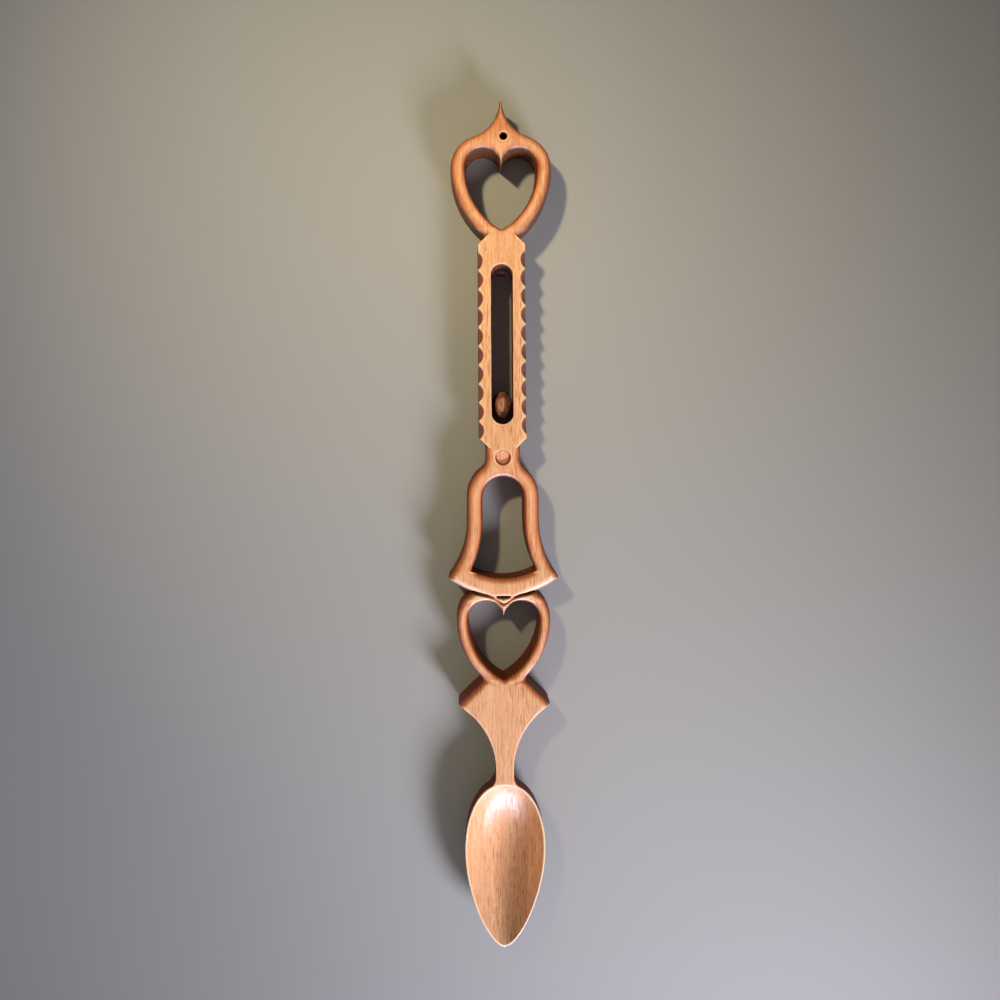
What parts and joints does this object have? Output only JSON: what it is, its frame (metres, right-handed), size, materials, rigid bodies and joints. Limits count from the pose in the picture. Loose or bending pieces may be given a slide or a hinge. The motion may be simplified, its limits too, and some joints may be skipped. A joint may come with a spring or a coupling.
{
  "type": "carved love spoon",
  "caption": "Carved wooden love spoon with a pierced finial, open hearts, a notched cage bar holding a loose bead, an open bell and an egg-shaped bowl; hangs on a wall.",
  "frame": {"origin": "middle of the outline, on the flat back of the board", "axes": "+X to the viewer's right, +Y up the spoon towards the finial, +Z out of the carved front"},
  "size_m": [0.0402, 0.3056, 0.013],
  "materials": {
    "carved_wood": "satin",
    "bead_wood": "satin"
  },
  "bodies": {
    "spoon": {"carved_spoon": "carved_wood"},
    "bead": {"captive_bead": "bead_wood"}
  },
  "joints": [
    {"name": "bead_slide", "type": "slide", "parent": "spoon", "child": "bead", "axis": [0, 1, 0], "range_m": [-0.0024, 0.0445]}
  ]
}
